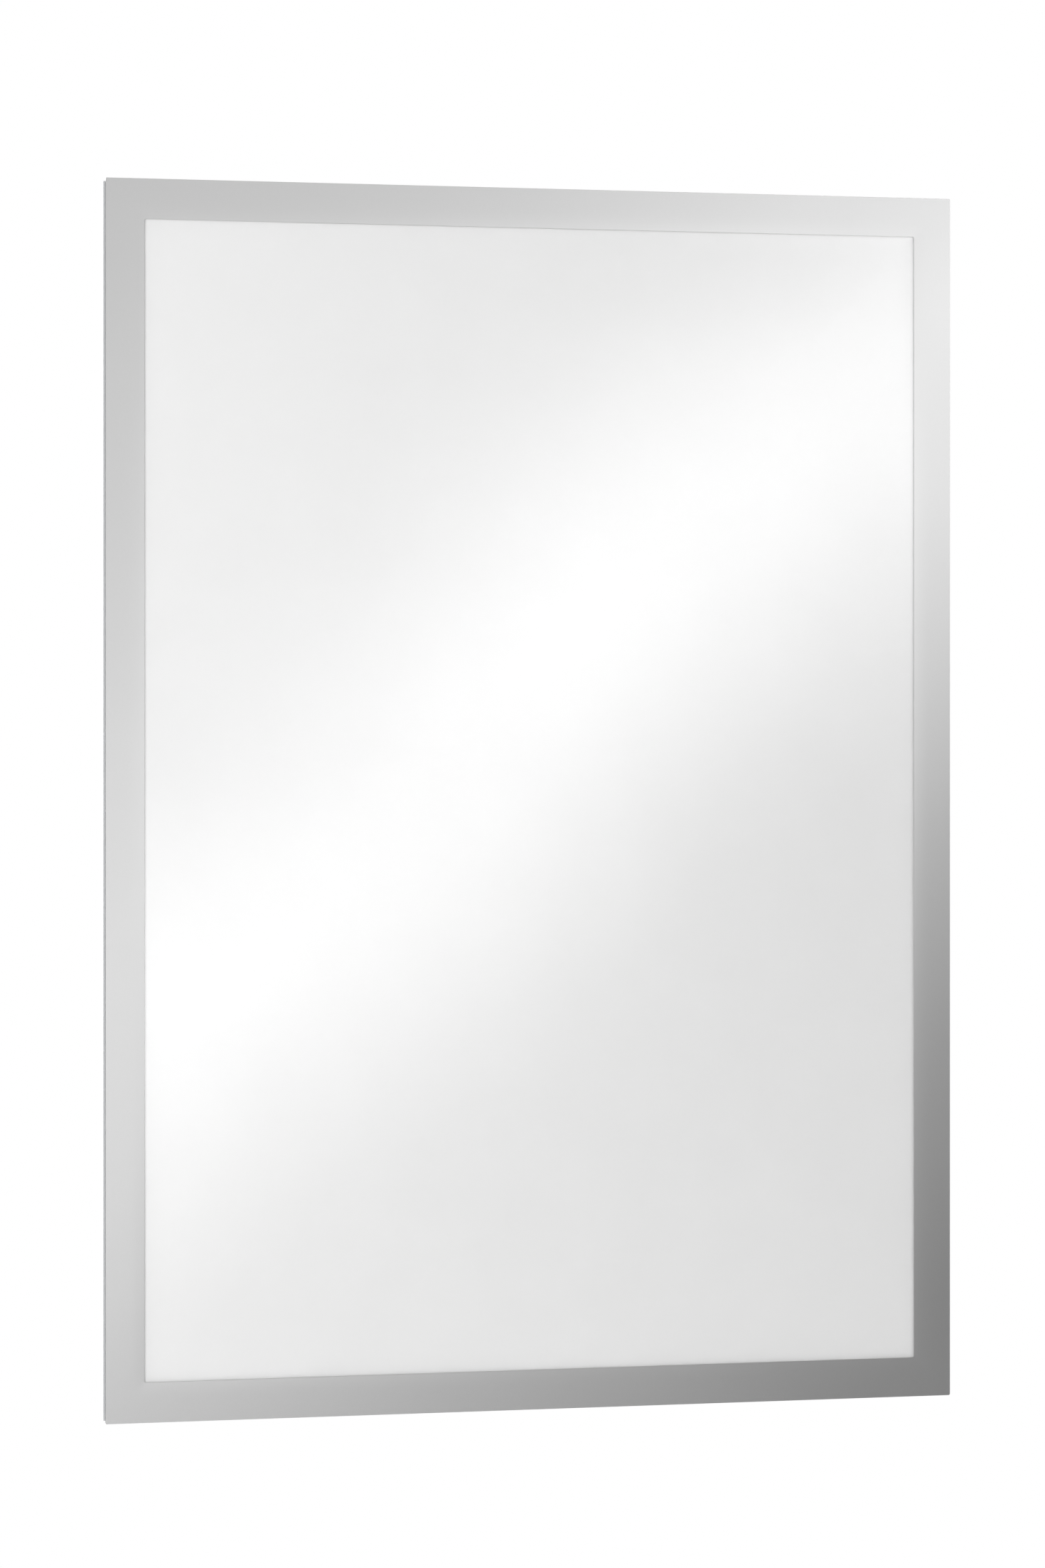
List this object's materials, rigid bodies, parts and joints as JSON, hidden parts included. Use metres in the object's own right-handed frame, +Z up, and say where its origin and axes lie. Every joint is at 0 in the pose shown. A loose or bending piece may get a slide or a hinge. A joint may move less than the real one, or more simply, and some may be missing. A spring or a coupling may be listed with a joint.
{
  "type": "poster frame",
  "caption": "Slim self-adhesive poster frame: silver border round a clear window, shut by magnet strips and hinged like a book cover over a blank white sheet.",
  "frame": {"origin": "centre of the top adhesive strip's rear face, which lies on the wall", "axes": "+Z up along the frame's long side, +Y into the wall, +X to the viewer's right; the front faces -Y"},
  "size_m": [0.5409, 0.0029, 0.74],
  "materials": {
    "silver_film": "satin silver metallic print on film",
    "clear_film": "clear, glossy",
    "magnet": "matt dark brown magnetic rubber",
    "adhesive": "milky double-sided tape",
    "paper": "plain white poster paper",
    "hinge_film": "satin silver grey, soft"
  },
  "bodies": {
    "rear_frame": {"adhesive_strip_top": "adhesive", "adhesive_strip_bottom": "adhesive", "adhesive_strip_left": "adhesive", "adhesive_strip_right": "adhesive", "back_film": "clear_film", "poster_sheet": "paper", "rear_magnet_top": "magnet", "rear_magnet_bottom": "magnet", "rear_magnet_left": "magnet", "rear_magnet_right": "magnet", "hinge_film": "hinge_film"},
    "front_frame": {"front_magnet_top": "magnet", "front_magnet_bottom": "magnet", "front_magnet_left": "magnet", "front_magnet_right": "magnet", "front_film": "clear_film", "silver_border": "silver_film"}
  },
  "joints": [
    {"name": "front_hinge", "type": "hinge", "parent": "rear_frame", "child": "front_frame", "pos_m": [-0.2708, -0.0015, -0.36], "axis": [0, 0, -1], "range_deg": [0, 180], "deforming": ["hinge_film"]}
  ]
}
